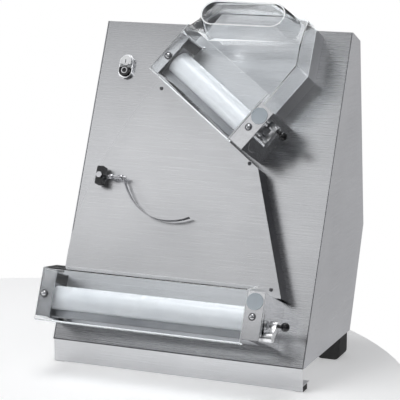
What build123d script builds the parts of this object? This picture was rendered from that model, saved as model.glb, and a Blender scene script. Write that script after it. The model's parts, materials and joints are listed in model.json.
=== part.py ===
from build123d import *
import os
from math import acos, cos, pi, radians, sin, sqrt, tan

# Bench-top dough sheeter with two pairs of rollers, in millimetres.
# +X runs along the lower rollers, +Y to the rear, +Z up, and the floor is Z = 0.

# Body
body_width = 530
sheet = 1.5
foot_height = 46.2
lean = 23.94
slope_length = 668
top_rear = (320, 635)
widest_rear = (369, 252)
bottom_rear = (290, foot_height)
kick_setback = 1.5
kick_gap = 1
flange_depth = 38
pad_height = 11
pad_size = (22, 27)
pad_round = 3
rear_foot_size = (50, 47)
rear_foot_rear = 272
rear_foot_round = 12
vent_size = (46, 4)
vent_pitch = (70, 14)
vent_count = (5, 8)
rear_screws = ((-245, 170), (245, 170), (-245, -170), (245, -170))

# Roller units: a runs along the rollers, b up across them, n out of the panel
unit_depth = 118
unit_height = 92
housing_wall = 2.5
end_depth = 21
roller_radius = 26
roller_b = 40
rear_axis_n = 27
nip_gap = 3
roller_end_gap = 0.5
shaft_radius = 7.5
running = 0.05
adjust_travel = 2
lower_length = 462
lower_corner = (-253, 30)
upper_length = 263
upper_corner = (-98.1, 541.5)
upper_tilt = 35.3
lower_flanges = (30, 36)
upper_flanges = (21, 38)
lower_bolts = ((11, 44), (19.5, 44))
upper_bolts = ((13, 39), (20, 41))

# Ends of the roller units
end_gap = 1.5
drive_width = 8
drive_gap = 0.3
drive_slot = (16, 68)
block_gap = 0.5
block_width = 8
block_rear = (10, 70)
rear_block_top = 52
carriage_n = (57, 107)
pin_radius = 2.5
pin_b = (16, 64)
pin_n = (40, 113)
tie_b = (4, 12)
tie_n = (84, 100)
scraper = 1.5
scraper_gap = 0.4
scraper_n = 96
scraper_foot = 1
scraper_edge = 15

# Gears and belt drive
gear_teeth = 14
gear_pitch_radius = 26.5
gear_tip_radius = 29.8
gear_root_radius = 22.4
gear_tooth = 5
tooth_sink = 2
flank_steps = 4
pressure_angle = 20
rear_pulley_radius = 17
motor_pulley_radius = 13
pulley_flange = 1
pulley_rim = 3.5
belt_thickness = 2
belt_gap = 0.3
motor_axis = (46, -62)
motor_shaft_radius = 6
gearbox_size = (60, 56)
gearbox_length = 45
gearbox_round = 5
shaft_hole = 15
motor_radius = 33
motor_length = 105
bracket = 3
bracket_b = (18, 80)
bracket_foot = 35
bracket_hole = 8

# Adjusting lever
eccentric = 4
lever_range = 30
journal_radius = 6
cam_radius = 8.5
cam_pin_radius = 2.5
cam_slot_gap = 0.2
cam_cap = 5.5
cam_cap_size = (20, 16)
cam_cap_round = 2
hub_radius = 9.5
hub_length = 18
sleeve_radius = 8.5
sleeve_gap = 3
bar_width = 14
bar_thickness = 9
lever_reach = 31
stem_size = (3.5, 7)
knob_radius = 8.5
lower_lever_axis = (12, 92)
lower_lever_turn = -36
upper_lever_turn = 8

# Clear guards and feed hopper
clear_wall = 3
guard_bottom = -6
guard_lip = 14
guard_bend_b = 92.5
guard_back = (107, 64)
upper_guard_bottom = -2
upper_guard_top = 112
upper_guard_right = 228
hopper_right = 236
hopper_floor = 48
hopper_base = 93
hopper_side = (203, 560)
hopper_shoulder = (206, 655)
hopper_top = (122, 690)
hopper_top_left = (6, 686)
hopper_left = (-18, 648)
hopper_edge_v = 600
hopper_tilt = 16.6
tube_base = (96, 37)
tube_base_size = (202, 62)
tube_mouth = (88, 38)
tube_mouth_size = (172, 56)
tube_length = 42
chute_tongue = 60
chute_right = 27
feed_overlap = 5
tongue_gap = 1

# Guide plate and balance arm
guide_face = 48
guide_curve = ((-170, 427), (-219, 310), (-242, 150))
guide_corners = ((-3, -5), (22, -8))
guide_notch = ((2, 20), (-12, 5))
guide_foot_v = 123
guide_right_x = 216
guide_screws = ((-99.5, 518), (111, 379), (-233, 136), (193.5, 138))
guide_tongue = 62
standoff_radius = 5
screw_radius = 2.5
screw_gap = 0.1
screw_depth = 10
screw_head = (4.5, 2.2)
arm_pivot = (-190, 327)
arm_block_size = (16, 37)
arm_block_round = 3
arm_block_n = (57, 73)
arm_rod_radius = 2.5
arm_blade_points = ((-140, 325), (-124, 296), (-88, 263), (-38, 250), (10, 260))
arm_blade_width = 12
arm_blade_thickness = 1.5
arm_blade_seat = 2
arm_rod_end = 4
arm_collars = (10, 31)
arm_collar_length = 8
pivot_radius = 3.5
pivot_washer = (6.5, 2)
pivot_nut = (6.5, 4)
spring_ring = (4.5, 7)
spring_leg = (22, 13)
spring_width = 2

# Switch
switch_centre = (-204.5, 571)
switch_size = (50, 31)
switch_depth = 8
button_pitch = 22
button_radius = 10.2
button_gap = 0.3
button_n = (3, 12)
stem_radius = 4
stem_depth = 12
stem_slot = 13
button_travel = 2
switch_block_size = (46, 28)
switch_block_depth = 38

# Inside the body and at its rear
control_box_size = (150, 90, 110)
control_box_centre = (-165, 190)
control_box_round = 6
gland_radius = 11
gland_thread = 8
gland_bore = 4.5
gland_dome = (9, 9)
gland_flange = 5
gland_x = -180
gland_rise = 0.25

# Worked-out sizes
guard_corner = (lower_corner[1] + guard_bottom, unit_depth)
guard_reach = guard_corner[1] * cos(radians(lean)) - guard_corner[0] * sin(radians(lean)) + clear_wall
front_y = (guard_reach - widest_rear[0]) / 2
half_width = body_width / 2
inner_half = half_width - sheet
top_front = (slope_length * sin(radians(lean)), foot_height + slope_length * cos(radians(lean)))
front_axis_n = rear_axis_n + 2 * roller_radius + nip_gap
drive_start = housing_wall + end_gap
block_start = drive_start + drive_width + block_gap

panel = Plane(
    origin=(0, front_y, foot_height),
    x_dir=(1, 0, 0),
    z_dir=(0, -cos(radians(lean)), sin(radians(lean))),
)


def unit_plane(corner, tilt):
    """Frame of a roller unit whose lower left corner lies at a place on the panel."""
    return Plane(
        origin=panel.from_local_coords((corner[0], corner[1], 0)),
        x_dir=panel.x_dir * cos(radians(tilt)) - panel.y_dir * sin(radians(tilt)),
        z_dir=panel.z_dir,
    )


def across(unit, a):
    """Plane square to the rollers at a distance along them, with b and n as its axes."""
    return Plane(origin=unit.from_local_coords((a, 0, 0)), x_dir=unit.y_dir, z_dir=unit.x_dir)


def on_panel(unit, a, b):
    """Place on the front panel of a point given along and across a roller unit."""
    place = panel.to_local_coords(unit.from_local_coords((a, b, 0)))
    return (place.X, place.Y)


def between(x_range, y_range, mode=Mode.ADD):
    """Rectangle drawn between two pairs of limits in the open sketch."""
    width = x_range[1] - x_range[0]
    height = y_range[1] - y_range[0]
    with Locations(((x_range[0] + x_range[1]) / 2, (y_range[0] + y_range[1]) / 2)):
        Rectangle(width, height, mode=mode)


def finish(piece, name):
    """Label a finished piece and write it out."""
    piece.part.label = name
    export_step(piece.part, "parts/" + name + ".step")


lower = unit_plane(lower_corner, 0)
upper = unit_plane(upper_corner, upper_tilt)
units = (
    ("lower", lower, lower_length, lower_flanges, lower_lever_axis, lower_lever_turn),
    ("upper", upper, upper_length, upper_flanges, (roller_b, front_axis_n), upper_lever_turn),
)
os.makedirs("parts", exist_ok=True)


# Side profile of the body, seen along X
def body_profile():
    """Outline of the body in Y and Z."""
    Polygon(
        (front_y, foot_height),
        (front_y + top_front[0], top_front[1]),
        (front_y + top_rear[0], top_rear[1]),
        (front_y + widest_rear[0], widest_rear[1]),
        (front_y + bottom_rear[0], bottom_rear[1]),
        align=None,
    )


# Side panels
for side, start in (("left", -half_width), ("right", inner_half)):
    with BuildPart() as side_panel:
        with BuildSketch(Plane.YZ.offset(start)):
            body_profile()
        extrude(amount=sheet)
    finish(side_panel, side + "_side_panel")

# Front panel with drive slots and the switch opening
with BuildPart() as front_panel:
    with BuildSketch(panel.offset(-sheet)):
        between((-inner_half, inner_half), (-sheet, slope_length))
        with Locations(switch_centre):
            SlotOverall(button_pitch + stem_slot, stem_slot, rotation=90, mode=Mode.SUBTRACT)
    extrude(amount=sheet)
    for name, unit, length, flanges, lever_axis, lever_turn in units:
        with BuildSketch(unit.offset(-sheet)):
            for start in (drive_start, length - drive_start - drive_width):
                between((start - drive_gap, start + drive_width + drive_gap), drive_slot)
        extrude(amount=sheet, mode=Mode.SUBTRACT)
    split(bisect_by=Plane.XY.offset(foot_height), keep=Keep.TOP)
finish(front_panel, "front_panel")

# Rear cover folded over the top and down the back, with vent slots
rear_slope = Plane(
    origin=(0, front_y + (top_rear[0] + widest_rear[0]) / 2, (top_rear[1] + widest_rear[1]) / 2),
    x_dir=(-1, 0, 0),
    z_dir=(0, top_rear[1] - widest_rear[1], widest_rear[0] - top_rear[0]),
)
rear_foot_run = (widest_rear[0] - bottom_rear[0], widest_rear[1] - bottom_rear[1])
gland_plane = Plane(
    origin=(
        gland_x,
        front_y + bottom_rear[0] + rear_foot_run[0] * gland_rise,
        bottom_rear[1] + rear_foot_run[1] * gland_rise,
    ),
    x_dir=(-1, 0, 0),
    z_dir=(0, rear_foot_run[1], -rear_foot_run[0]),
)
with BuildPart() as rear_cover:
    with BuildSketch(Plane.YZ.offset(-inner_half)):
        body_profile()
        offset(amount=-sheet, kind=Kind.INTERSECTION, mode=Mode.SUBTRACT)
    extrude(amount=2 * inner_half)
    split(bisect_by=panel.offset(-sheet), keep=Keep.BOTTOM)
    split(bisect_by=Plane.XY.offset(foot_height + sheet), keep=Keep.TOP)
    with BuildSketch(rear_slope):
        with GridLocations(vent_pitch[0], vent_pitch[1], vent_count[0], vent_count[1]):
            SlotOverall(vent_size[0], vent_size[1])
    extrude(amount=-3 * sheet, mode=Mode.SUBTRACT)
    with BuildSketch(gland_plane):
        Circle(gland_thread + running)
    extrude(amount=-3 * sheet, mode=Mode.SUBTRACT)
finish(rear_cover, "rear_cover")

# Base plate
with BuildPart() as base_plate:
    with BuildSketch(Plane.XY.offset(foot_height)):
        between((-inner_half, inner_half), (front_y + 2 * sheet, front_y + bottom_rear[0]))
    extrude(amount=sheet)
finish(base_plate, "base_plate")

# Front support: a folded strip under the front edge
support_y = front_y + kick_setback
with BuildPart() as front_support:
    with BuildSketch(Plane.YZ.offset(-inner_half)):
        between((support_y, support_y + sheet), (kick_gap, foot_height))
        between((support_y, support_y + flange_depth), (foot_height - sheet, foot_height))
        between((support_y, support_y + flange_depth), (pad_height, pad_height + sheet))
    extrude(amount=2 * inner_half)
finish(front_support, "front_support")

# Feet: two pads under the front support and two blocks at the rear
foot_x = half_width - rear_foot_size[0] / 2
with BuildPart() as feet:
    with BuildSketch():
        for sign in (-1, 1):
            with Locations((sign * (inner_half - pad_size[0] / 2), support_y + sheet + pad_size[1] / 2)):
                RectangleRounded(pad_size[0], pad_size[1], pad_round)
    extrude(amount=pad_height)
    for sign in (-1, 1):
        with BuildSketch(Plane.XZ.offset(-front_y - rear_foot_rear)) as foot_outline:
            with Locations((sign * foot_x, foot_height / 2)):
                Rectangle(rear_foot_size[0], foot_height)
            fillet(foot_outline.vertices().sort_by(Axis.Y)[0:2], radius=rear_foot_round)
        extrude(amount=rear_foot_size[1])
finish(feet, "feet")


# Guide plate: a folded pan that carries the dough from the upper to the lower rollers
guide_top_left = on_panel(upper, guide_corners[0][0], guide_corners[0][1])
guide_top_right = on_panel(upper, upper_length + guide_corners[1][0], guide_corners[1][1])
with BuildSketch(panel) as guide_outline:
    with BuildLine():
        Spline(guide_top_left, *guide_curve)
        Polyline(guide_curve[2], (guide_curve[2][0], guide_foot_v), (guide_right_x, guide_foot_v))
        Polyline((guide_right_x, guide_foot_v), guide_top_right, guide_top_left)
    make_face()

tongue_inset = end_depth + tongue_gap
tongue_x = (lower_corner[0] + tongue_inset, lower_corner[0] + lower_length - tongue_inset)
with BuildPart() as guide_plate:
    with BuildSketch(panel.offset(guide_face - sheet)):
        add(guide_outline.sketch_local)
        between(tongue_x, (lower_corner[1] + guide_tongue, guide_foot_v))
        with Locations(*guide_screws):
            Circle(screw_radius + screw_gap, mode=Mode.SUBTRACT)
    extrude(amount=sheet)
    for step in (-sheet, sheet):
        with BuildSketch(panel):
            add(guide_outline.sketch_local)
            with Locations((step, 0)):
                add(guide_outline.sketch_local, mode=Mode.SUBTRACT)
        extrude(amount=guide_face - sheet)
    with BuildSketch(upper):
        between((guide_notch[0][0], upper_length + guide_notch[0][1]), guide_notch[1])
    extrude(amount=guide_face - sheet, mode=Mode.SUBTRACT)
finish(guide_plate, "guide_plate")

with BuildPart() as guide_standoffs:
    with BuildSketch(panel):
        with Locations(*guide_screws):
            Circle(standoff_radius)
    extrude(amount=guide_face - sheet)
    with BuildSketch(panel.offset(guide_face - sheet - screw_depth)):
        with Locations(*guide_screws):
            Circle(screw_radius + running)
    extrude(amount=screw_depth, mode=Mode.SUBTRACT)
finish(guide_standoffs, "guide_standoffs")

# Screws of the guide plate and the rear cover
with BuildPart() as panel_screws:
    with BuildSketch(panel.offset(guide_face - sheet - screw_depth)):
        with Locations(*guide_screws):
            Circle(screw_radius)
    extrude(amount=screw_depth + sheet)
    with BuildSketch(panel.offset(guide_face)):
        with Locations(*guide_screws):
            Circle(screw_head[0])
    extrude(amount=screw_head[1])
    with BuildSketch(rear_slope):
        with Locations(*rear_screws):
            Circle(screw_head[0])
    extrude(amount=screw_head[1])
finish(panel_screws, "panel_screws")


# Feed hopper and the chute pan behind it share one outline
def feed_outline(inset, base):
    """Outline of the feed on the panel, drawn in from its walls and open towards the rollers."""
    corners = (
        on_panel(upper, inset, base),
        on_panel(upper, inset, upper_guard_top),
        (hopper_left[0] + inset, hopper_left[1]),
        (hopper_top_left[0] + inset, hopper_top_left[1] - inset),
        (hopper_top[0] - inset / 4, hopper_top[1] - inset),
        (hopper_shoulder[0] - inset, hopper_shoulder[1] - inset / 2),
        (hopper_side[0] - inset, hopper_side[1] + inset / 4),
        on_panel(upper, hopper_right - inset, base),
    )
    Polygon(*corners, align=None)


with BuildPart() as chute_pan:
    with BuildSketch(panel):
        feed_outline(0, hopper_base)
    extrude(amount=hopper_floor)
    with BuildSketch(panel):
        feed_outline(sheet, hopper_base - feed_overlap)
    extrude(amount=hopper_floor - sheet, mode=Mode.SUBTRACT)
    with BuildSketch(upper.offset(hopper_floor - sheet)):
        between((end_depth + tongue_gap, upper_length - chute_right), (chute_tongue, hopper_base))
    extrude(amount=sheet)
finish(chute_pan, "chute_pan")

slope = Plane(
    origin=panel.from_local_coords((0, hopper_edge_v, unit_depth + clear_wall)),
    x_dir=panel.x_dir,
    z_dir=panel.z_dir * cos(radians(hopper_tilt)) + panel.y_dir * sin(radians(hopper_tilt)),
)


def slot_face(place, size, wall):
    """Long rounded opening of the feed tube, drawn in by a wall."""
    with Locations(place):
        SlotOverall(size[0] - 2 * wall, size[1] - 2 * wall)


with BuildPart() as feed_space:
    with BuildSketch(panel.offset(hopper_floor)):
        feed_outline(clear_wall, hopper_base - feed_overlap)
    extrude(amount=unit_depth - hopper_floor)
    split(bisect_by=slope.offset(-clear_wall), keep=Keep.BOTTOM)
    with BuildSketch(slope.offset(-2 * clear_wall)):
        slot_face(tube_base, tube_base_size, clear_wall)
    with BuildSketch(slope.offset(tube_length + 1)):
        slot_face(tube_mouth, tube_mouth_size, clear_wall)
    loft()

with BuildPart() as hopper:
    with BuildSketch(panel.offset(hopper_floor)):
        feed_outline(0, hopper_base)
    extrude(amount=unit_depth + clear_wall - hopper_floor)
    split(bisect_by=slope, keep=Keep.BOTTOM)
    with BuildSketch(slope.offset(-clear_wall)):
        slot_face(tube_base, tube_base_size, 0)
    with BuildSketch(slope.offset(tube_length)):
        slot_face(tube_mouth, tube_mouth_size, 0)
    loft()
    add(feed_space.part, mode=Mode.SUBTRACT)
    with BuildSketch(upper.offset(unit_depth - clear_wall)):
        between((-1, hopper_right + 1), (hopper_base - 1, upper_guard_top + block_gap))
    extrude(amount=3 * clear_wall, mode=Mode.SUBTRACT)
finish(hopper, "hopper")


# Roller units
def involute(angle):
    """Involute function of a pressure angle."""
    return tan(angle) - angle


def tooth_points():
    """Outline of one gear tooth that points along +X."""
    base_radius = gear_pitch_radius * cos(radians(pressure_angle))
    start_half = gear_tooth / (2 * gear_pitch_radius) + involute(radians(pressure_angle))
    root = gear_root_radius - tooth_sink
    flank = [(root * cos(start_half), root * sin(start_half))]
    for step in range(flank_steps + 1):
        radius = base_radius + (gear_tip_radius - base_radius) * step / flank_steps
        half = start_half - involute(acos(base_radius / radius))
        flank.append((radius * cos(half), radius * sin(half)))
    return flank + [(x, -y) for x, y in reversed(flank)]


def gear(plane, place, phase):
    """Spur gear with its first tooth turned by a phase."""
    with BuildPart() as wheel:
        with BuildSketch(plane):
            with Locations(place):
                Circle(gear_root_radius)
            with Locations(Location((place[0], place[1], 0), phase)):
                with PolarLocations(0, gear_teeth):
                    Polygon(*tooth_points(), align=None)
            with Locations(place):
                Circle(shaft_radius, mode=Mode.SUBTRACT)
        extrude(amount=drive_width)
    return wheel


def round_bar(plane, place, radius, length, bore=0):
    """Round bar or tube standing on a plane."""
    with BuildPart() as bar:
        with BuildSketch(plane):
            with Locations(place):
                Circle(radius)
                if bore:
                    Circle(bore, mode=Mode.SUBTRACT)
        extrude(amount=length)
    return bar


def pulley(plane, place, radius, bore=0):
    """Belt pulley with a rim at each end."""
    with BuildPart() as wheel:
        with BuildSketch(plane):
            with Locations(place):
                Circle(radius)
        extrude(amount=drive_width)
        for start in (0, drive_width - pulley_flange):
            with BuildSketch(plane.offset(start)):
                with Locations(place):
                    Circle(radius + pulley_rim)
            extrude(amount=pulley_flange)
        if bore:
            with BuildSketch(plane):
                with Locations(place):
                    Circle(bore)
            extrude(amount=drive_width, mode=Mode.SUBTRACT)
    return wheel


def wrap(plane, first_radius, second_radius, length):
    """Prism round the two pulley axes, as a belt wraps them."""
    with BuildPart() as prism:
        with BuildSketch(plane):
            with Locations((roller_b, rear_axis_n)):
                Circle(first_radius)
            with Locations(motor_axis):
                Circle(second_radius)
            make_hull()
        extrude(amount=length)
    return prism


def housing(unit, left, length, flange_width, journal):
    """Folded end housing of a unit, open towards the rollers."""
    start = 0 if left else length - end_depth
    hollow = start + housing_wall if left else start
    flange = 0 if left else length - flange_width
    with BuildPart() as box:
        with BuildSketch(unit):
            between((start, start + end_depth), (0, unit_height))
            between(
                (hollow, hollow + end_depth - housing_wall),
                (housing_wall, unit_height - housing_wall),
                mode=Mode.SUBTRACT,
            )
        extrude(amount=unit_depth)
        with BuildSketch(unit.offset(unit_depth - housing_wall)):
            between((flange, flange + flange_width), (0, unit_height))
        extrude(amount=housing_wall)
        if not left:
            with BuildSketch(across(unit, length - housing_wall)):
                with Locations(journal):
                    Circle(journal_radius + running)
            extrude(amount=housing_wall, mode=Mode.SUBTRACT)
    return box


for name, unit, length, flanges, lever_axis, lever_turn in units:
    end = name + "_"
    block_starts = (block_start, length - block_start - block_width)
    drive_end = length - drive_start - drive_width
    rear_axis = (roller_b, rear_axis_n)
    front_axis = (roller_b, front_axis_n)
    roller_start = end_depth + roller_end_gap
    roller_length = length - 2 * roller_start

    finish(housing(unit, True, length, flanges[0], lever_axis), end + "left_housing")
    finish(housing(unit, False, length, flanges[1], lever_axis), end + "right_housing")

    # Bearing blocks of the rear roller
    with BuildPart() as rear_bearings:
        for start in block_starts:
            with BuildSketch(across(unit, start)):
                between(block_rear, (0, rear_block_top))
                with Locations(rear_axis):
                    Circle(shaft_radius + running, mode=Mode.SUBTRACT)
            extrude(amount=block_width)
        for start in block_starts:
            with BuildSketch(unit.offset(pin_n[0])):
                with Locations(*[(start + block_width / 2, b) for b in pin_b]):
                    Circle(pin_radius + running)
            extrude(amount=rear_block_top - pin_n[0], mode=Mode.SUBTRACT)
    finish(rear_bearings, end + "rear_bearings")

    # Rear roller with its shaft, gear and pulley
    rear_roller = round_bar(
        across(unit, roller_start), rear_axis, roller_radius, roller_length, shaft_radius
    )
    finish(rear_roller, end + "rear_roller")
    rear_shaft = round_bar(
        across(unit, drive_start), rear_axis, shaft_radius, length - 2 * drive_start
    )
    finish(rear_shaft, end + "rear_shaft")
    finish(gear(across(unit, drive_start), rear_axis, 0), end + "rear_gear")
    drive_pulley = pulley(across(unit, drive_end), rear_axis, rear_pulley_radius, shaft_radius)
    finish(drive_pulley, end + "drive_pulley")

    # Front roller with its shaft and gear
    front_roller = round_bar(
        across(unit, roller_start), front_axis, roller_radius, roller_length, shaft_radius
    )
    finish(front_roller, end + "front_roller")
    front_shaft = round_bar(
        across(unit, drive_start), front_axis, shaft_radius, length - block_start - drive_start
    )
    finish(front_shaft, end + "front_shaft")
    front_gear = gear(across(unit, drive_start), front_axis, 180 / gear_teeth)
    finish(front_gear, end + "front_gear")

    # Carriage: two sliding blocks, a tie bar with a scraper lip, and a slotted cap for the cam pin
    cap_start = length - block_start
    pin_axis = (lever_axis[0] + eccentric, lever_axis[1])
    cam_swing = eccentric * (1 - cos(radians(lever_range)))
    cam_slot = 2 * (cam_pin_radius + cam_slot_gap)
    lip_b = roller_b - scraper_gap - sqrt(roller_radius**2 - (scraper_n - front_axis_n) ** 2)
    with BuildPart() as carriage:
        for start in block_starts:
            with BuildSketch(across(unit, start)):
                between((tie_b[0], block_rear[1]), carriage_n)
                with Locations(front_axis):
                    Circle(shaft_radius + running, mode=Mode.SUBTRACT)
            extrude(amount=block_width)
        with BuildSketch(across(unit, cap_start)):
            with Locations(pin_axis):
                RectangleRounded(cam_cap_size[0], cam_cap_size[1], cam_cap_round)
        extrude(amount=cam_cap)
        with BuildSketch(across(unit, cap_start + block_gap)):
            with Locations((pin_axis[0] - cam_swing / 2, pin_axis[1])):
                Rectangle(cam_slot + cam_swing, cam_slot)
        extrude(amount=cam_cap, mode=Mode.SUBTRACT)
        with BuildSketch(across(unit, block_start)):
            between(tie_b, tie_n)
        extrude(amount=length - 2 * block_start)
        with BuildSketch(across(unit, roller_start)):
            between((tie_b[0], lip_b), (scraper_n, scraper_n + scraper))
        extrude(amount=roller_length)
        for start in block_starts:
            with BuildSketch(unit.offset(carriage_n[0])):
                with Locations(*[(start + block_width / 2, b) for b in pin_b]):
                    Circle(pin_radius + running)
            extrude(amount=carriage_n[1] - carriage_n[0], mode=Mode.SUBTRACT)
    finish(carriage, end + "carriage")

    # Scraper of the rear roller, which bridges to the plate below
    edge_reach = (roller_radius + scraper_gap) ** 2 - (roller_b - scraper_edge) ** 2
    edge_n = rear_axis_n + sqrt(edge_reach)
    with BuildPart() as rear_scraper:
        with BuildSketch(across(unit, end_depth)):
            with BuildLine():
                Polyline((scraper_foot, 0), (scraper_foot, edge_n + 1), (scraper_edge, edge_n))
                offset(amount=scraper, side=Side.RIGHT)
            make_face()
        extrude(amount=length - 2 * end_depth)
    finish(rear_scraper, end + "rear_scraper")

    # Adjusting lever with its journal and eccentric pin, a hub, a bar and a plunger sleeve
    cam_start = cap_start + cam_cap + block_gap
    handle = Location((lever_axis[0], lever_axis[1], 0), lever_turn)
    with BuildPart() as lever:
        with BuildSketch(across(unit, cap_start + 2 * block_gap)):
            with Locations(pin_axis):
                Circle(cam_pin_radius)
        extrude(amount=cam_cap)
        with BuildSketch(across(unit, cam_start)):
            with Locations(lever_axis):
                Circle(cam_radius)
        extrude(amount=length - housing_wall - cam_slot_gap - cam_start)
        with BuildSketch(across(unit, cam_start)):
            with Locations(lever_axis):
                Circle(journal_radius)
        extrude(amount=length + hub_length - cam_start)
        with BuildSketch(across(unit, length + cam_slot_gap)):
            with Locations(lever_axis):
                Circle(hub_radius)
        extrude(amount=hub_length - cam_slot_gap)
        with BuildSketch(across(unit, length + hub_length - bar_thickness)):
            with Locations(handle):
                with Locations((lever_reach / 2, 0)):
                    Rectangle(lever_reach, bar_width)
        extrude(amount=bar_thickness)
        with BuildSketch(across(unit, length + sleeve_gap)):
            with Locations(handle):
                with Locations((lever_reach, 0)):
                    Circle(sleeve_radius)
        extrude(amount=hub_length - sleeve_gap)
    finish(lever, end + "lever")

    knob_place = (
        lever_axis[0] + lever_reach * cos(radians(lever_turn)),
        lever_axis[1] + lever_reach * sin(radians(lever_turn)),
    )
    knob_centre = across(unit, length + hub_length + stem_size[1] + knob_radius - 1)
    with BuildPart() as lever_knob:
        with BuildSketch(across(unit, length + hub_length)):
            with Locations(knob_place):
                Circle(stem_size[0])
        extrude(amount=stem_size[1] + knob_radius)
        with Locations(knob_centre):
            with Locations(knob_place):
                Sphere(knob_radius)
    finish(lever_knob, end + "lever_knob")

    # Gearmotor with its face on a bracket, and its pulley on the output shaft
    motor_face = length - end_depth + block_gap
    with BuildPart() as motor:
        with BuildSketch(across(unit, motor_face - gearbox_length)):
            with Locations(motor_axis):
                RectangleRounded(gearbox_size[0], gearbox_size[1], gearbox_round)
        extrude(amount=gearbox_length)
        with BuildSketch(across(unit, motor_face - gearbox_length)):
            with Locations(motor_axis):
                Circle(motor_radius)
        extrude(amount=-motor_length)
        with BuildSketch(across(unit, motor_face)):
            with Locations(motor_axis):
                Circle(motor_shaft_radius + running)
        extrude(amount=-shaft_hole, mode=Mode.SUBTRACT)
    finish(motor, end + "motor")

    with BuildPart() as motor_pulley:
        add(pulley(across(unit, drive_end), motor_axis, motor_pulley_radius).part)
        with BuildSketch(across(unit, motor_face - shaft_hole)):
            with Locations(motor_axis):
                Circle(motor_shaft_radius)
        extrude(amount=drive_end + drive_width - motor_face + shaft_hole)
    finish(motor_pulley, end + "motor_pulley")

# Clear guard in front of the lower rollers
with BuildPart() as lower_guard:
    with BuildSketch(across(lower, 0)):
        with BuildLine():
            Polyline(
                (guard_bottom, unit_depth - guard_lip),
                (guard_bottom, unit_depth),
                (guard_bend_b, unit_depth),
                guard_back,
            )
            offset(amount=clear_wall, side=Side.LEFT)
        make_face()
    extrude(amount=lower_length - lower_flanges[1])
finish(lower_guard, "lower_guard")

# Clear guard in front of the upper rollers
with BuildPart() as upper_guard:
    with BuildSketch(upper.offset(unit_depth)):
        between((0, upper_guard_right), (upper_guard_bottom, upper_guard_top))
    extrude(amount=clear_wall)
    with BuildSketch(upper.offset(unit_depth - guard_lip)):
        between((0, upper_guard_right), (upper_guard_bottom - clear_wall, upper_guard_bottom))
    extrude(amount=guard_lip + clear_wall)
finish(upper_guard, "upper_guard")

# Pins that guide both carriages
with BuildPart() as guide_pins:
    for name, unit, length, flanges, lever_axis, lever_turn in units:
        for start in (block_start, length - block_start - block_width):
            with BuildSketch(unit.offset(pin_n[0])):
                with Locations(*[(start + block_width / 2, b) for b in pin_b]):
                    Circle(pin_radius)
            extrude(amount=pin_n[1] - pin_n[0])
finish(guide_pins, "guide_pins")

# Belts, each a closed loop round its two pulleys
belt_inset = pulley_flange + belt_gap
with BuildPart() as drive_belts:
    for name, unit, length, flanges, lever_axis, lever_turn in units:
        belt_plane = across(unit, length - drive_start - drive_width + belt_inset)
        belt_width = drive_width - 2 * belt_inset
        outer = belt_gap + belt_thickness
        add(wrap(belt_plane, rear_pulley_radius + outer, motor_pulley_radius + outer, belt_width).part)
    for name, unit, length, flanges, lever_axis, lever_turn in units:
        belt_plane = across(unit, length - drive_start - drive_width + belt_inset)
        inner = wrap(
            belt_plane, rear_pulley_radius + belt_gap, motor_pulley_radius + belt_gap, belt_width
        )
        add(inner.part, mode=Mode.SUBTRACT)
finish(drive_belts, "drive_belts")

# Motor brackets, each a face plate with a foot on the back of the front panel
with BuildPart() as motor_brackets:
    for name, unit, length, flanges, lever_axis, lever_turn in units:
        face = length - end_depth + block_gap
        with BuildSketch(across(unit, face)):
            between(bracket_b, (motor_axis[1] - gearbox_size[1] / 2, -sheet))
            with Locations(motor_axis):
                Circle(bracket_hole, mode=Mode.SUBTRACT)
        extrude(amount=bracket)
        with BuildSketch(unit.offset(-sheet)):
            between((face - bracket_foot, face + bracket), bracket_b)
        extrude(amount=-bracket)
finish(motor_brackets, "motor_brackets")

# Bolts through the front flanges
bolt_places = (
    (lower, lower_bolts[0], unit_depth + clear_wall),
    (lower, (lower_length - lower_bolts[1][0], lower_bolts[1][1]), unit_depth),
    (upper, upper_bolts[0], unit_depth + clear_wall),
    (upper, (upper_length - upper_bolts[1][0], upper_bolts[1][1]), unit_depth),
)
with BuildPart() as flange_bolts:
    for unit, place, base in bolt_places:
        with BuildSketch(unit.offset(base)):
            with Locations(place):
                Circle(screw_head[0])
        extrude(amount=screw_head[1])
finish(flange_bolts, "flange_bolts")

# Balance arm on the guide plate
with BuildPart() as arm_post:
    with BuildSketch(panel.offset(guide_face)):
        with Locations(arm_pivot):
            Circle(pivot_radius)
    extrude(amount=arm_block_n[1] + block_gap + pivot_nut[1] - guide_face)
    with BuildSketch(panel.offset(guide_face)):
        with Locations(arm_pivot):
            Circle(pivot_washer[0])
    extrude(amount=pivot_washer[1])
    with BuildSketch(panel.offset(arm_block_n[1] + block_gap)):
        with Locations(arm_pivot):
            RegularPolygon(pivot_nut[0], 6)
    extrude(amount=pivot_nut[1])
finish(arm_post, "arm_post")

arm_rod_n = (arm_block_n[0] + arm_block_n[1]) / 2
with BuildPart() as arm_block:
    with BuildSketch(panel.offset(arm_block_n[0])):
        with Locations(arm_pivot):
            RectangleRounded(arm_block_size[0], arm_block_size[1], arm_block_round)
            Circle(pivot_radius + running, mode=Mode.SUBTRACT)
    extrude(amount=arm_block_n[1] - arm_block_n[0])
finish(arm_block, "arm_block")

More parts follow.
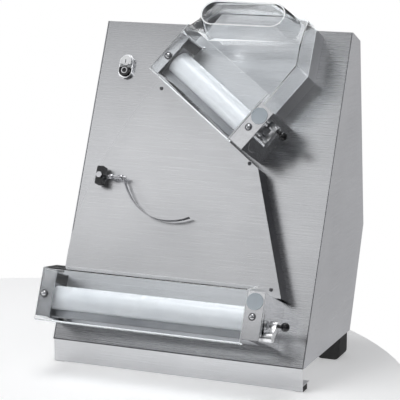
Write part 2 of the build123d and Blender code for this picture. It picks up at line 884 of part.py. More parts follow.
rod_start = arm_pivot[0] + arm_block_size[0] / 2
rod_end = arm_blade_points[0][0]
rod_plane = Plane(
    origin=panel.from_local_coords((rod_start, arm_pivot[1], arm_rod_n)),
    x_dir=panel.y_dir,
    z_dir=panel.x_dir,
)
blade_shift = arm_blade_thickness / sqrt(2)
blade_back = [(x - blade_shift, v - blade_shift) for x, v in arm_blade_points]
with BuildPart() as balance_arm:
    with BuildSketch(rod_plane):
        Circle(arm_rod_radius)
    extrude(amount=rod_end - rod_start + arm_rod_end)
    for collar in arm_collars:
        with BuildSketch(rod_plane.offset(collar)):
            Circle(2 * arm_rod_radius)
        extrude(amount=arm_collar_length)
    with BuildSketch(panel.offset(arm_rod_n - arm_blade_width + arm_blade_seat)):
        with BuildLine():
            Spline(*arm_blade_points)
            Spline(*blade_back)
            Line(arm_blade_points[0], blade_back[0])
            Line(arm_blade_points[-1], blade_back[-1])
        make_face()
    extrude(amount=arm_blade_width)
finish(balance_arm, "balance_arm")

with BuildPart() as arm_spring:
    with BuildSketch(panel.offset(guide_face + pivot_washer[1] + block_gap)):
        with Locations(arm_pivot):
            Circle(spring_ring[1])
            Circle(spring_ring[0], mode=Mode.SUBTRACT)
        with Locations((arm_pivot[0] - spring_leg[1], arm_pivot[1] - spring_ring[1] + spring_width / 2)):
            Rectangle(spring_leg[0], spring_width)
    extrude(amount=spring_width)
finish(arm_spring, "arm_spring")

# Two-button switch
with BuildPart() as switch_bezel:
    with BuildSketch(panel):
        with Locations(switch_centre):
            SlotOverall(switch_size[0], switch_size[1], rotation=90)
            with GridLocations(0, button_pitch, 1, 2):
                Circle(button_radius + button_gap, mode=Mode.SUBTRACT)
    extrude(amount=switch_depth)
finish(switch_bezel, "switch_bezel")

for name, sign in (("start_button", 1), ("stop_button", -1)):
    place = (switch_centre[0], switch_centre[1] + sign * button_pitch / 2)
    with BuildPart() as button:
        with BuildSketch(panel.offset(button_n[0])):
            with Locations(place):
                Circle(button_radius)
        extrude(amount=button_n[1] - button_n[0])
        with BuildSketch(panel.offset(-stem_depth)):
            with Locations(place):
                Circle(stem_radius)
        extrude(amount=stem_depth + button_n[0])
    finish(button, name)

with BuildPart() as switch_block:
    with BuildSketch(panel.offset(-sheet)):
        with Locations(switch_centre):
            Rectangle(switch_block_size[1], switch_block_size[0])
    extrude(amount=-switch_block_depth)
    with BuildSketch(panel.offset(-sheet)):
        with Locations(switch_centre):
            with GridLocations(0, button_pitch, 1, 2):
                Circle(stem_radius + running)
    extrude(amount=-stem_depth - button_travel - sheet, mode=Mode.SUBTRACT)
finish(switch_block, "switch_block")

# Control box on the base plate and the cable gland in the rear cover
with BuildPart() as control_box:
    with BuildSketch(Plane.XY.offset(foot_height + sheet)):
        with Locations((control_box_centre[0], front_y + control_box_centre[1])):
            RectangleRounded(control_box_size[0], control_box_size[1], control_box_round)
    extrude(amount=control_box_size[2])
finish(control_box, "control_box")

with BuildPart() as cable_gland:
    with BuildSketch(gland_plane.offset(-sheet - gland_flange)):
        Circle(gland_radius)
    extrude(amount=gland_flange)
    with BuildSketch(gland_plane.offset(-sheet - gland_flange)):
        Circle(gland_thread)
    extrude(amount=2 * gland_flange + sheet)
    with BuildSketch(gland_plane):
        Circle(gland_radius)
    extrude(amount=gland_flange)
    with BuildSketch(gland_plane.offset(gland_flange)):
        Circle(gland_dome[0])
    extrude(amount=gland_dome[1])
    with BuildSketch(gland_plane.offset(-sheet - gland_flange)):
        Circle(gland_bore)
    extrude(amount=sheet + 2 * gland_flange + gland_dome[1], mode=Mode.SUBTRACT)
finish(cable_gland, "cable_gland")
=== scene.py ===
import json
from math import cos, pi, radians, sin

import bmesh
import bpy
from mathutils import Matrix, Vector


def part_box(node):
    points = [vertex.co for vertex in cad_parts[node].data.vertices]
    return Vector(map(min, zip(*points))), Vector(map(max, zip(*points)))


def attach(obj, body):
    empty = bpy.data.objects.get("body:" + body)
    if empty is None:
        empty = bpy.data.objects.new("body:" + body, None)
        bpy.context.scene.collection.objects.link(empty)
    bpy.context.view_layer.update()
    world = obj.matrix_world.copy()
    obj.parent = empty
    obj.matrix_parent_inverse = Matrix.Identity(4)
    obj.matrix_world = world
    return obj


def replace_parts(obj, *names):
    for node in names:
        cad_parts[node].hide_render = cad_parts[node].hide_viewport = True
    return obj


# Looks of a bench-top dough sheeter: brushed and polished stainless steel, white rollers,
# clear guards and hopper, chrome levers, and small fittings. Lengths are in metres.

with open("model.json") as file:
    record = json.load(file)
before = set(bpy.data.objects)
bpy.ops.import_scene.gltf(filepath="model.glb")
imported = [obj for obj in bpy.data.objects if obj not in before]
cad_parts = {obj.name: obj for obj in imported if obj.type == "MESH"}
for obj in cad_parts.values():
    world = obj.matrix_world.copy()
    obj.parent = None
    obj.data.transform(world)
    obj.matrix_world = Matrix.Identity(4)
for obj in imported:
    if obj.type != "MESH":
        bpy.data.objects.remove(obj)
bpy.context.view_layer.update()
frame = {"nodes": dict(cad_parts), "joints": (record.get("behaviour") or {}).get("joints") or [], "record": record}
nodes = frame["nodes"]
body_of = {
    node: body
    for body, members in frame["record"]["behaviour"]["bodies"].items()
    for node in members
}
joints = {joint["name"]: joint for joint in frame["joints"]}

MM = 0.001
UNITS = ("lower", "upper")

# Sizes of the added pieces
edge_round = 0.5 * MM
sheet_round = 0.35 * MM
flange_screw = (5.2 * MM, 3.0 * MM)
guide_screw = (3.8 * MM, 2.0 * MM)
washer_size = (7.4 * MM, 0.8 * MM)
disc_radius = 16.5 * MM
disc_height = 1.1 * MM
disc_place = {"lower": (-18.5 * MM, 73 * MM), "upper": (-18.4 * MM, 70.4 * MM)}
tick_size = (1.0 * MM, 4.2 * MM, 0.12 * MM)
tick_radius = {"lower": 24 * MM, "upper": 33 * MM}
tick_start = {"lower": -25, "upper": 132}
tick_count = 9
tick_step = {"lower": 13, "upper": 9}
guard_screw = (3.0 * MM, 1.5 * MM)
merge_distance = 0.000005
sharp_corner = radians(40)
flat_angle = 1
seam_size = (1.1 * MM, 0.12 * MM)
cap_radius = 12.2 * MM
cap_span = (10.2 * MM, 12.7 * MM)
cap_gap = 3.2 * MM
cap_pitch = 9.5 * MM
mark_height = 0.12 * MM
wire_radius = 0.75 * MM
wire_sides = 10
coil_radius = 5.7 * MM
coil_turns = 3
coil_steps = 24
rear_screw = (4.6 * MM, 2.4 * MM)

# Outward direction of the rear cover, and the depth that parts its screws from the front ones
rear_slope = Vector((0, 383, 49)).normalized()
rear_split = 120 * MM


# Placing: matrices that turn a fitting's own directions into the machine's
def matrix_from(origin, along, up, out):
    """Place with its three directions and its origin."""
    rows = [(along[i], up[i], out[i], origin[i]) for i in range(3)]
    return Matrix((*rows, (0, 0, 0, 1)))


def lowest(node, direction):
    """Least distance of a node along a direction."""
    return min(vertex.co.dot(direction) for vertex in nodes[node].data.vertices)


def highest(node, direction):
    """Greatest distance of a node along a direction."""
    return max(vertex.co.dot(direction) for vertex in nodes[node].data.vertices)


def unit_place(unit):
    """Lower left corner of a roller unit on the panel, with its directions along, up and out."""
    along = Vector(joints[unit + "_rear_roller_spin"]["axis"]).normalized()
    out = Vector(joints[unit + "_gap_slide"]["axis"]).normalized()
    up = out.cross(along)
    node = unit + "_left_housing"
    origin = sum((d * lowest(node, d) for d in (along, up, out)), Vector())
    return matrix_from(origin, along, up, out)


def span(node, place, axis):
    """Least and greatest coordinate of a node along one axis of a place."""
    direction = place.col[axis].xyz
    start = place.translation.dot(direction)
    return lowest(node, direction) - start, highest(node, direction) - start


PLACE = {unit: unit_place(unit) for unit in UNITS}
OUT = PLACE["lower"].col[2].xyz
UP = PLACE["lower"].col[1].xyz
RIGHT = Vector((1, 0, 0))
panel_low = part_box("front_panel")[0]
PANEL = matrix_from(Vector((0, panel_low.y, panel_low.z)), RIGHT, UP, OUT)
LENGTH = {unit: span(unit + "_right_housing", PLACE[unit], 0)[1] for unit in UNITS}
DEPTH = span("lower_left_housing", PLACE["lower"], 2)[1]


# Materials
def material_base(name, colour, roughness, metallic=0.0):
    """Material with one principled shader, and its node tree and shader."""
    material = bpy.data.materials.new(name)
    material.use_nodes = True
    shader = material.node_tree.nodes["Principled BSDF"]
    shader.inputs["Base Color"].default_value = (*colour, 1)
    shader.inputs["Roughness"].default_value = roughness
    shader.inputs["Metallic"].default_value = metallic
    return material, material.node_tree, shader


def grain(tree, scale, stretch=(1, 1, 1), detail=3.0, turn=(0, 0, 0)):
    """Noise on the piece's own coordinates, stretched and turned."""
    coordinates = tree.nodes.new("ShaderNodeTexCoord")
    mapping = tree.nodes.new("ShaderNodeMapping")
    mapping.inputs["Scale"].default_value = stretch
    mapping.inputs["Rotation"].default_value = turn
    noise = tree.nodes.new("ShaderNodeTexNoise")
    noise.inputs["Scale"].default_value = scale
    noise.inputs["Detail"].default_value = detail
    tree.links.new(coordinates.outputs["Object"], mapping.inputs["Vector"])
    tree.links.new(mapping.outputs["Vector"], noise.inputs["Vector"])
    return noise.outputs["Fac"]


def shades(tree, source, dark, light, start=0.35, end=0.65):
    """Colours between a dark and a light one, chosen by a pattern."""
    ramp = tree.nodes.new("ShaderNodeValToRGB")
    ramp.color_ramp.elements[0].position = start
    ramp.color_ramp.elements[0].color = (*dark, 1)
    ramp.color_ramp.elements[1].position = end
    ramp.color_ramp.elements[1].color = (*light, 1)
    tree.links.new(source, ramp.inputs["Fac"])
    return ramp.outputs["Color"]


def levels(tree, source, low, high, start=0.3, end=0.7):
    """Numbers between two levels, chosen by a pattern."""
    span_node = tree.nodes.new("ShaderNodeMapRange")
    span_node.inputs["From Min"].default_value = start
    span_node.inputs["From Max"].default_value = end
    span_node.inputs["To Min"].default_value = low
    span_node.inputs["To Max"].default_value = high
    tree.links.new(source, span_node.inputs["Value"])
    return span_node.outputs["Result"]


def relief(tree, shader, source, strength, height):
    """Small relief from a pattern."""
    bump = tree.nodes.new("ShaderNodeBump")
    bump.inputs["Strength"].default_value = strength
    bump.inputs["Distance"].default_value = height
    tree.links.new(source, bump.inputs["Height"])
    tree.links.new(bump.outputs["Normal"], shader.inputs["Normal"])


def brushed_steel(name, dark, light, low, high, stretch):
    """Stainless sheet with fine brushing along one direction and faint cloudy stains."""
    material, tree, shader = material_base(name, light, low, metallic=1.0)
    clouds = grain(tree, 5.0, detail=4.0)
    lines = grain(tree, 2600.0, stretch=stretch, detail=2.0)
    tree.links.new(shades(tree, clouds, dark, light, 0.3, 0.7), shader.inputs["Base Color"])
    tree.links.new(levels(tree, lines, low, high), shader.inputs["Roughness"])
    relief(tree, shader, lines, 0.015, 0.00004)
    return material


def polished_metal(name, dark, light, low, high, scratch=(2, 2, 40)):
    """Bright metal with soft wipe marks and faint scratches."""
    material, tree, shader = material_base(name, light, low, metallic=1.0)
    wipes = grain(tree, 9.0, detail=5.0)
    scratches = grain(tree, 40.0, stretch=scratch, detail=6.0)
    tree.links.new(shades(tree, wipes, dark, light), shader.inputs["Base Color"])
    tree.links.new(levels(tree, scratches, low, high), shader.inputs["Roughness"])
    relief(tree, shader, scratches, 0.06, 0.00008)
    return material


def moulded_plastic(name, dark, light, low, high, pebble, height=0.00006):
    """Plastic or enamel with a fine moulded skin and slight handling marks."""
    material, tree, shader = material_base(name, light, low)
    marks = grain(tree, 14.0, detail=4.0)
    skin = grain(tree, pebble, detail=2.0)
    tree.links.new(shades(tree, marks, dark, light), shader.inputs["Base Color"])
    tree.links.new(levels(tree, marks, low, high), shader.inputs["Roughness"])
    relief(tree, shader, skin, 0.35, height)
    return material


def roller_plastic():
    """White roller with faint turned rings and a light dusting of flour."""
    material, tree, shader = material_base("roller_white", (0.93, 0.94, 0.96), 0.28)
    dust = grain(tree, 22.0, detail=6.0)
    rings = grain(tree, 260.0, stretch=(1, 0.15, 0.15), detail=2.0)
    dusty = shades(tree, dust, (0.86, 0.875, 0.90), (0.93, 0.94, 0.96), 0.35, 0.6)
    tree.links.new(dusty, shader.inputs["Base Color"])
    tree.links.new(levels(tree, dust, 0.36, 0.24), shader.inputs["Roughness"])
    relief(tree, shader, rings, 0.08, 0.00005)
    shader.inputs["Coat Weight"].default_value = 0.25
    return material


def clear_sheet(name, tint, roughness):
    """Clear polycarbonate that light passes through, with faint handling haze."""
    material, tree, shader = material_base(name, tint, roughness)
    haze = grain(tree, 7.0, detail=5.0)
    tree.links.new(levels(tree, haze, roughness, roughness + 0.05), shader.inputs["Roughness"])
    shader.inputs["Transmission Weight"].default_value = 1.0
    shader.inputs["IOR"].default_value = 1.45
    passing = tree.nodes.new("ShaderNodeBsdfTransparent")
    passing.inputs["Color"].default_value = (0.93, 0.95, 0.96, 1)
    rays = tree.nodes.new("ShaderNodeLightPath")
    mix = tree.nodes.new("ShaderNodeMixShader")
    tree.links.new(rays.outputs["Is Shadow Ray"], mix.inputs["Fac"])
    tree.links.new(shader.outputs["BSDF"], mix.inputs[1])
    tree.links.new(passing.outputs["BSDF"], mix.inputs[2])
    tree.links.new(mix.outputs["Shader"], tree.nodes["Material Output"].inputs["Surface"])
    return material


def painted_glow_edge():
    """Sawn and flamed edge of the clear sheet, with a painted glow that stands in for the light its edges gather.
    """
    material, tree, shader = material_base("clear_edge_painted_glow", (0.93, 0.96, 0.97), 0.35)
    saw = grain(tree, 120.0, detail=3.0)
    tree.links.new(
        shades(tree, saw, (0.86, 0.90, 0.92), (0.97, 0.99, 1.0)), shader.inputs["Base Color"]
    )
    relief(tree, shader, saw, 0.2, 0.0001)
    shader.inputs["Transmission Weight"].default_value = 0.35
    # The emission is a painted highlight along the cut edges.
    shader.inputs["Emission Color"].default_value = (1, 1, 1, 1)
    shader.inputs["Emission Strength"].default_value = 0.22
    return material


def flat_ink(name, dark, light, roughness):
    """Printed or etched mark with a slightly uneven edge of tone."""
    material, tree, shader = material_base(name, dark, roughness)
    speckle = grain(tree, 300.0, detail=2.0)
    tree.links.new(shades(tree, speckle, dark, light), shader.inputs["Base Color"])
    tree.links.new(levels(tree, speckle, roughness, roughness + 0.1), shader.inputs["Roughness"])
    return material


front_steel = brushed_steel(
    "front_steel", (0.60, 0.605, 0.62), (0.69, 0.695, 0.71), 0.24, 0.29, (0.004, 1, 1)
)
side_steel = brushed_steel(
    "side_steel", (0.54, 0.545, 0.57), (0.62, 0.625, 0.65), 0.26, 0.38, (1, 0.004, 1)
)
guide_steel = brushed_steel(
    "guide_steel", (0.64, 0.645, 0.66), (0.73, 0.735, 0.75), 0.26, 0.36, (0.004, 1, 1)
)
housing_steel = polished_metal("housing_steel", (0.56, 0.565, 0.58), (0.68, 0.685, 0.70), 0.14, 0.26)
chrome = polished_metal("chrome", (0.82, 0.83, 0.85), (0.94, 0.95, 0.96), 0.04, 0.11, (1, 1, 1))
shaft_steel = polished_metal("ground_steel", (0.52, 0.52, 0.54), (0.66, 0.66, 0.68), 0.2, 0.34)
gear_steel = polished_metal("gear_steel", (0.38, 0.38, 0.40), (0.52, 0.52, 0.54), 0.3, 0.45)
lever_chrome = polished_metal(
    "lever_chrome", (0.90, 0.91, 0.92), (0.97, 0.97, 0.98), 0.26, 0.38, (1, 1, 1)
)
alloy = polished_metal("turned_alloy", (0.60, 0.61, 0.63), (0.72, 0.73, 0.75), 0.28, 0.42)
# Dark grey alloy for the carriages: partly their own grey tone, partly a painted shade that darkens their
# reflection in the panel under each roller unit.
dark_alloy_and_shade = polished_metal(
    "dark_alloy_and_shade", (0.26, 0.265, 0.28), (0.36, 0.365, 0.38), 0.4, 0.55, (1, 1, 1)
)
# Dark steel for faces that turn away from the front: a painted shade, because those walls and undersides reflect
# only dark surroundings.
painted_shade_steel = polished_metal("painted_shade_steel", (0.10, 0.10, 0.11), (0.16, 0.16, 0.17), 0.45, 0.6)
screw_steel = polished_metal("screw_steel", (0.58, 0.59, 0.61), (0.78, 0.79, 0.81), 0.12, 0.25)
dark_screw = polished_metal("dark_screw", (0.10, 0.10, 0.11), (0.2, 0.2, 0.21), 0.2, 0.35)
roller_white = roller_plastic()
clear_plastic = clear_sheet("clear_plastic", (0.965, 0.98, 0.99), 0.015)
clear_edge_painted_glow = painted_glow_edge()
black_plastic = moulded_plastic(
    "black_plastic", (0.012, 0.012, 0.013), (0.03, 0.03, 0.032), 0.26, 0.4, 900.0
)
black_gloss = moulded_plastic(
    "black_gloss", (0.01, 0.01, 0.011), (0.022, 0.022, 0.024), 0.08, 0.18, 500.0, 0.00002
)
white_gloss = moulded_plastic(
    "white_gloss", (0.84, 0.85, 0.86), (0.93, 0.94, 0.95), 0.1, 0.2, 500.0, 0.00002
)
grey_plastic = moulded_plastic(
    "grey_plastic", (0.40, 0.41, 0.42), (0.52, 0.53, 0.54), 0.35, 0.5, 800.0
)
disc_grey = moulded_plastic(
    "disc_grey", (0.50, 0.56, 0.61), (0.60, 0.66, 0.71), 0.3, 0.42, 1200.0, 0.00003
)
acetal = moulded_plastic("acetal", (0.78, 0.78, 0.75), (0.9, 0.9, 0.87), 0.35, 0.5, 400.0)
motor_enamel = moulded_plastic("motor_enamel", (0.2, 0.22, 0.25), (0.28, 0.3, 0.33), 0.3, 0.45, 350.0)
rubber = moulded_plastic("rubber", (0.02, 0.02, 0.02), (0.05, 0.05, 0.05), 0.6, 0.8, 500.0, 0.0001)
dark_ink = flat_ink("dark_ink", (0.02, 0.02, 0.022), (0.05, 0.05, 0.055), 0.5)
pale_ink = flat_ink("pale_ink", (0.75, 0.76, 0.78), (0.9, 0.9, 0.92), 0.4)


# Making pieces
def add_piece(name, bm, material, body="body", place=Matrix.Identity(4), smooth_angle=35):
    """Turn a bmesh into a piece that rides on a body."""
    bmesh.ops.transform(bm, matrix=place, verts=bm.verts)
    bmesh.ops.remove_doubles(bm, verts=bm.verts, dist=0.000002)
    bmesh.ops.recalc_face_normals(bm, faces=bm.faces)
    return finish_piece(name, bm, [material], body, smooth_angle)


def finish_piece(name, bm, materials, body, smooth_angle=35):
    """Write a bmesh into an object with its materials and smooth faces between sharp edges."""
    mesh = bpy.data.meshes.new(name)
    bm.to_mesh(mesh)
    bm.free()
    mesh.shade_smooth()
    mesh.set_sharp_from_angle(angle=radians(smooth_angle))
    piece = bpy.data.objects.new(name, mesh)
    bpy.context.scene.collection.objects.link(piece)
    for material in materials:
        mesh.materials.append(material)
    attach(piece, body)
    return piece


def is_cut_edge(face, thin):
    """Whether a face is a sheet's cut edge: narrow, with sharp corners along most of its sides."""
    lengths = [edge.calc_length() for edge in face.edges]
    sharp = [
        length
        for edge, length in zip(face.edges, lengths)
        if edge.calc_face_angle(0) > sharp_corner
    ]
    return face.calc_area() < thin * max(lengths) and sum(sharp) > 0.4 * sum(lengths)


def rounded_copy(node, materials, width, least_angle=35, segments=2, thin=None):
    """Copy of a node with its sharp edges rounded, and its thin cut faces in the second material."""
    bm = bmesh.new()
    bm.from_mesh(nodes[node].data)
    bmesh.ops.remove_doubles(bm, verts=bm.verts, dist=merge_distance)
    bmesh.ops.dissolve_limit(
        bm, angle_limit=radians(0.5), verts=bm.verts, edges=bm.edges, delimit={"NORMAL"}
    )
    bmesh.ops.triangulate(bm, faces=[f for f in bm.faces if len(f.verts) > 4])
    bmesh.ops.join_triangles(
        bm,
        faces=[f for f in bm.faces if len(f.verts) == 3],
        angle_face_threshold=radians(1),
        angle_shape_threshold=radians(60),
    )
    if thin:
        for face in bm.faces:
            face.material_index = 1 if is_cut_edge(face, thin) else 0
    piece = finish_piece(node + "_shape", bm, materials, body_of[node], least_angle)
    bevel = piece.modifiers.new("edges", "BEVEL")
    bevel.width = width
    bevel.segments = segments
    bevel.limit_method = "ANGLE"
    bevel.angle_limit = radians(least_angle)
    bevel.harden_normals = True
    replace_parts(piece, node)
    return piece


def two_sided(node, front, back, least=-0.5):
    """Copy of a sheet node with another material on the faces that turn from the front."""
    bm = bmesh.new()
    bm.from_mesh(nodes[node].data)
    bmesh.ops.remove_doubles(bm, verts=bm.verts, dist=merge_distance)
    for face in bm.faces:
        face.material_index = 1 if face.normal.dot(OUT) < least else 0
    piece = finish_piece(node + "_shape", bm, [front, back], body_of[node], flat_angle)
    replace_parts(piece, node)
    return piece


def paint(material, *names):
    """Give CAD nodes a material."""
    for name in names:
        if nodes[name].material_slots:
            nodes[name].material_slots[0].material = material
        else:
            nodes[name].data.materials.append(material)


def turned(profile, segments=32):
    """Shape turned about Z from points of radius and height."""
    bm = bmesh.new()
    points = [bm.verts.new((radius, 0, height)) for radius, height in profile]
    edges = [bm.edges.new(pair) for pair in zip(points, points[1:])]
    bmesh.ops.spin(
        bm,
        geom=points + edges,
        cent=(0, 0, 0),
        axis=(0, 0, 1),
        angle=2 * pi,
        steps=segments,
        use_merge=True,
        use_duplicate=False,
    )
    bmesh.ops.remove_doubles(bm, verts=bm.verts, dist=0.000001)
    return bm


def block(size, centre, bevel=0.0, segments=2):
    """Box with rounded edges round a centre."""
    bm = bmesh.new()
    bmesh.ops.create_cube(bm, size=1)
    bmesh.ops.scale(bm, vec=size, verts=bm.verts)
    if bevel:
        bmesh.ops.bevel(
            bm,
            geom=bm.edges,
            offset=bevel,
            segments=segments,
            profile=0.5,
            affect="EDGES",
            material=-1,
        )
    bmesh.ops.translate(bm, vec=centre, verts=bm.verts)
    return bm


def join(target, other, place=Matrix.Identity(4)):
    """Add one bmesh to another at a place."""
    bmesh.ops.transform(other, matrix=place, verts=other.verts)
    mesh = bpy.data.meshes.new("part")
    other.to_mesh(mesh)
    other.free()
    target.from_mesh(mesh)
    bpy.data.meshes.remove(mesh)


def islands(node, direction):
    """Middle of the outer face of each separate solid of a node along a direction."""
    bm = bmesh.new()
    bm.from_mesh(nodes[node].data)
    bmesh.ops.remove_doubles(bm, verts=bm.verts, dist=merge_distance)
    left = set(bm.verts)
    tops = []
    while left:
        group = set()
        waiting = [left.pop()]
        while waiting:
            vertex = waiting.pop()
            group.add(vertex)
            for edge in vertex.link_edges:
                other = edge.other_vert(vertex)
                if other in left:
                    left.discard(other)
                    waiting.append(other)
        reach = max(vertex.co.dot(direction) for vertex in group)
        face = [v.co for v in group if v.co.dot(direction) > reach - 0.00005]
        low = Vector([min(point[i] for point in face) for i in range(3)])
        high = Vector([max(point[i] for point in face) for i in range(3)])
        tops.append((low + high) / 2)
    bm.free()
    return tops


def facing(point, out, along=RIGHT):
    """Place at a point whose third direction is out."""
    up = out.cross(along).normalized()
    return matrix_from(point, up.cross(out).normalized(), up, out)


# Fasteners
def dome_screw(size):
    """Domed screw head with a six-sided recess, standing on Z = 0."""
    radius, height = size
    rim = [(radius, 0), (radius, 0.22 * height), (0.94 * radius, 0.5 * height)]
    crown = [(0.78 * radius, 0.8 * height), (0.52 * radius, height)]
    bm = turned(rim + crown, 24)
    open_edges = [edge for edge in bm.edges if edge.is_boundary]
    lip = [e for e in open_edges if all(v.co.z > 0.9 * height for v in e.verts)]
    recess = bmesh.ops.create_circle(bm, segments=6, radius=0.44 * radius, cap_ends=False)
    bmesh.ops.translate(bm, vec=(0, 0, height), verts=recess["verts"])
    hexagon = [e for e in bm.edges if all(v in recess["verts"] for v in e.verts)]
    bmesh.ops.bridge_loops(bm, edges=lip + hexagon)
    wall = bmesh.ops.extrude_edge_only(bm, edges=hexagon)["geom"]
    floor = [item for item in wall if isinstance(item, bmesh.types.BMVert)]
    bmesh.ops.translate(bm, vec=(0, 0, -0.7 * height), verts=floor)
    bmesh.ops.holes_fill(bm, edges=[e for e in bm.edges if e.is_boundary], sides=30)
    return bm


def washer():
    """Flat washer with eased edges, standing on Z = 0."""
    radius, height = washer_size
    ease = 0.3 * height
    return turned(
        [
            (0, 0),
            (radius, 0),
            (radius, height - ease),
            (radius - ease, height),
            (0, height),
        ],
        32,
    )


def screws(name, tops, out, size, material):
    """Screw heads whose outer faces are at known points."""
    bm = bmesh.new()
    for top in tops:
        join(bm, dome_screw(size), facing(top - out * size[1], out))
    return add_piece(name, bm, material)


def washers(name, tops, out, size, material):
    """Washers under screw heads whose outer faces are at known points."""
    bm = bmesh.new()
    for top in tops:
        join(bm, washer(), facing(top - out * (size[1] + washer_size[1] / 2), out))
    return add_piece(name, bm, material)


flange_tops = [top + OUT * washer_size[1] for top in islands("flange_bolts", OUT)]
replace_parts(screws("flange_screws", flange_tops, OUT, flange_screw, screw_steel), "flange_bolts")
# Dark washers: a painted shade for the dark recess round each flange screw.
washers("flange_washers", flange_tops, OUT, flange_screw, dark_screw)
guide_tops = [top for top in islands("panel_screws", OUT) if top.y < rear_split]
rear_tops = [top for top in islands("panel_screws", rear_slope) if top.y > rear_split]
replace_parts(screws("guide_screws", guide_tops, OUT, guide_screw, dark_screw), "panel_screws")
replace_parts(screws("rear_screws", rear_tops, rear_slope, rear_screw, screw_steel), "panel_screws")

# Sheet metal
paint(front_steel, "front_panel", "base_plate")
paint(side_steel, "left_side_panel", "right_side_panel", "rear_cover")
rounded_copy("front_support", [guide_steel], sheet_round)
# Walls and undersides in dark steel: painted shade for the dark gap beside the guide plate and for the shaded
# undersides seen in reflection.
two_sided("chute_pan", guide_steel, painted_shade_steel)
two_sided("guide_plate", guide_steel, painted_shade_steel, 0.5)
paint(housing_steel, "motor_brackets")
for unit in UNITS:
    rounded_copy(unit + "_left_housing", [housing_steel], edge_round)
    rounded_copy(unit + "_right_housing", [housing_steel], edge_round)
    paint(housing_steel, unit + "_rear_scraper")

# Rollers, drive and levers
for unit in UNITS:
    for side in ("_front", "_rear"):
        rounded_copy(unit + side + "_roller", [roller_white], 2.5 * MM, 60, 4)
        paint(shaft_steel, unit + side + "_shaft")
        paint(gear_steel, unit + side + "_gear")
    paint(alloy, unit + "_drive_pulley", unit + "_motor_pulley")
    # Carriages in dark alloy: partly a painted shade for the dark band under each unit.
    paint(dark_alloy_and_shade, unit + "_carriage")
    paint(acetal, unit + "_rear_bearings")
    paint(motor_enamel, unit + "_motor")
    rounded_copy(unit + "_lever", [lever_chrome], 0.9 * MM, 40, 3)
    paint(black_gloss, unit + "_lever_knob")
paint(shaft_steel, "guide_pins", "guide_standoffs")
paint(rubber, "drive_belts")
rounded_copy("feet", [rubber], 1.2 * MM, 50, 3)
paint(grey_plastic, "control_box")

# Clear guards and hopper
# The thin cut faces get the edge material, whose glow is a painted highlight.
for node in ("lower_guard", "upper_guard", "hopper"):
    rounded_copy(node, [clear_plastic, clear_edge_painted_glow], 0.3 * MM, 25, 2, thin=3.6 * MM)
guard_spot = PLACE["upper"] @ Vector((62 * MM, 96 * MM, span("upper_guard", PLACE["upper"], 2)[1]))
screws("guard_screw", [guard_spot + OUT * guard_screw[1]], OUT, guard_screw, screw_steel)

# Balance arm
rounded_copy("balance_arm", [gear_steel], 0.3 * MM, 50)
rounded_copy("arm_block", [black_plastic], 0.8 * MM)
paint(shaft_steel, "arm_post")


def wire(points, radius):
    """Round wire through points, closed at both ends."""
    bm = bmesh.new()
    rings = []
    for number, point in enumerate(points):
        before = points[max(number - 1, 0)]
        after = points[min(number + 1, len(points) - 1)]
        run = (after - before).normalized()
        across = run.orthogonal() if number == 0 else (across - run * across.dot(run))
        across.normalize()
        beside = run.cross(across)
        turns = [2 * pi * side / wire_sides for side in range(wire_sides)]
        ring = [point + (across * cos(t) + beside * sin(t)) * radius for t in turns]
        rings.append([bm.verts.new(corner) for corner in ring])
    for one, two in zip(rings, rings[1:]):
        for side in range(wire_sides):
            beyond = (side + 1) % wire_sides
            bm.faces.new((one[side], one[beyond], two[beyond], two[side]))
    bm.faces.new(rings[0])
    bm.faces.new(rings[-1])
    return bm


def arm_coil():
    """Torsion spring round the arm's post, with one leg along the guide plate."""
    pivot = PANEL.inverted() @ Vector(joints["balance_arm_swing"]["pos_m"])
    low, high = span("arm_spring", PANEL, 2)
    left = span("arm_spring", PANEL, 0)[0]
    foot = pivot.y - coil_radius
    start = Vector((left + wire_radius, foot, low + wire_radius))
    steps = coil_steps * coil_turns
    rise = (high - low - 2 * wire_radius) / steps
    points = [start, start.lerp(Vector((pivot.x, foot, start.z)), 0.6)]
    for step in range(steps + 1):
        turn = 2 * pi * step / coil_steps - pi / 2
        points.append(
            Vector(
                (
                    pivot.x + coil_radius * cos(turn),
                    pivot.y + coil_radius * sin(turn),
                    start.z + rise * step,
                )
            )
        )
    return add_piece("arm_coil", wire(points, wire_radius), chrome, place=PANEL, smooth_angle=60)


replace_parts(arm_coil(), "arm_spring")


# Switch and gland
def half_cap(sign):
    """Outline of one switch cap, flat towards the middle and round at its far end."""
    flat = sign * cap_gap
    end = sign * cap_pitch
    reach = [Vector((cap_radius, flat, 0))]
    for step in range(25):
        turn = pi * step / 24
        reach.append(Vector((cap_radius * cos(turn), end + sign * cap_radius * sin(turn), 0)))
    return [*reach, Vector((-cap_radius, flat, 0))]


def switch_cap(name, sign, material):
    """Rocker-like cap on a round button, with eased edges."""
    bm = bmesh.new()
    bm.faces.new([bm.verts.new(point) for point in half_cap(sign)])
    grown = bmesh.ops.extrude_face_region(bm, geom=bm.faces[:])["geom"]
    top = [item for item in grown if isinstance(item, bmesh.types.BMVert)]
    bmesh.ops.translate(bm, vec=(0, 0, cap_span[1] - cap_span[0]), verts=top)
    bmesh.ops.recalc_face_normals(bm, faces=bm.faces)
    upper = [e for e in bm.edges if all(v in top for v in e.verts)]
    bmesh.ops.bevel(
        bm, geom=upper, offset=0.7 * MM, segments=3, profile=0.5, affect="EDGES", material=-1
    )
    seat = switch_place @ Matrix.Translation((0, 0, cap_span[0]))
    return add_piece(name + "_cap", bm, material, name + "_body", seat, 40)


def switch_marks():
    """Bar on the start cap and ring on the stop cap."""
    bar = block((1.8 * MM, 7 * MM, mark_height), (0, cap_pitch, cap_span[1] + mark_height / 2))
    add_piece("start_mark", bar, dark_ink, "start_button_body", switch_place)
    radii = (6.6 * MM, 5.0 * MM)
    profile = [(radii[0], 0), (radii[0], mark_height), (radii[1], mark_height), (radii[1], 0)]
    ring = turned([*profile, profile[0]], 40)
    seat = switch_place @ Matrix.Translation((0, -cap_pitch, cap_span[1]))
    add_piece("stop_mark", ring, pale_ink, "stop_button_body", seat)


